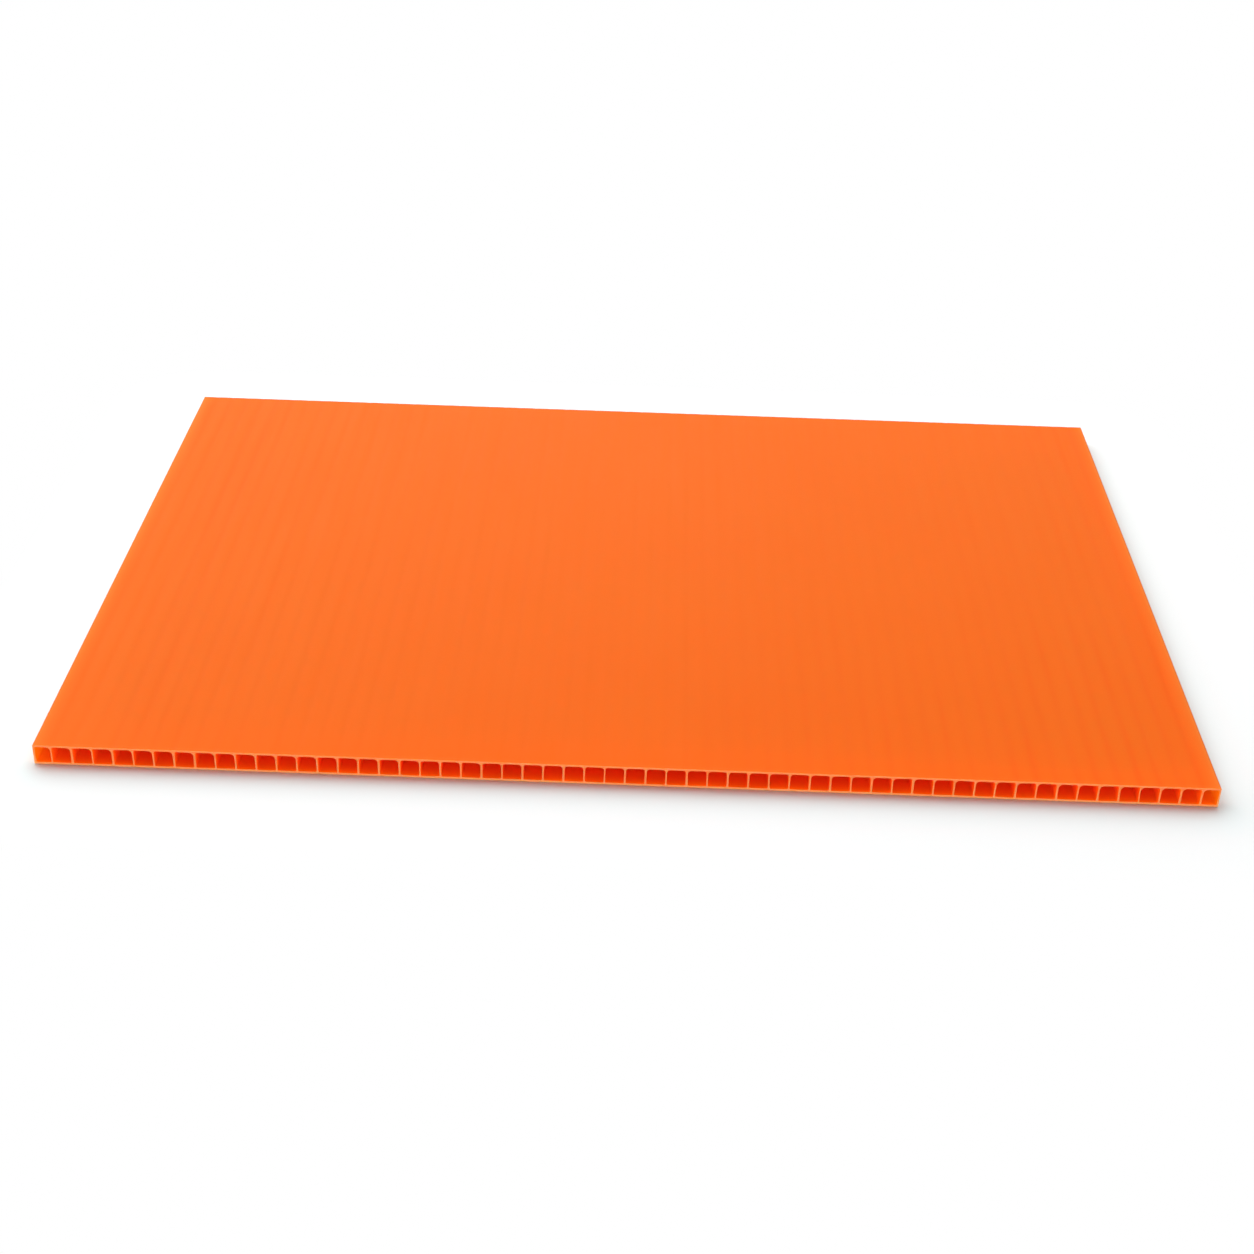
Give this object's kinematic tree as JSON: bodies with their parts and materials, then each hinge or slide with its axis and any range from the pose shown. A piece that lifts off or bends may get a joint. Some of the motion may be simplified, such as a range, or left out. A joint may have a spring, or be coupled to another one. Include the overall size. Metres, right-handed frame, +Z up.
{
  "type": "corrugated plastic sheet",
  "caption": "Flat fluted plastic sheet: smooth liners joined by upright webs, with straight flutes that open on the front and back edges.",
  "frame": {"origin": "centre of the sheet's outline, on its underside", "axes": "+X across the flutes along the long side, +Y along the flutes towards the back edge, +Z up through the thickness"},
  "size_m": [0.297, 0.21, 0.0055],
  "materials": {
    "orange_polypropylene": "satin"
  },
  "bodies": {
    "root": {"fluted_sheet": "orange_polypropylene"}
  },
  "joints": []
}
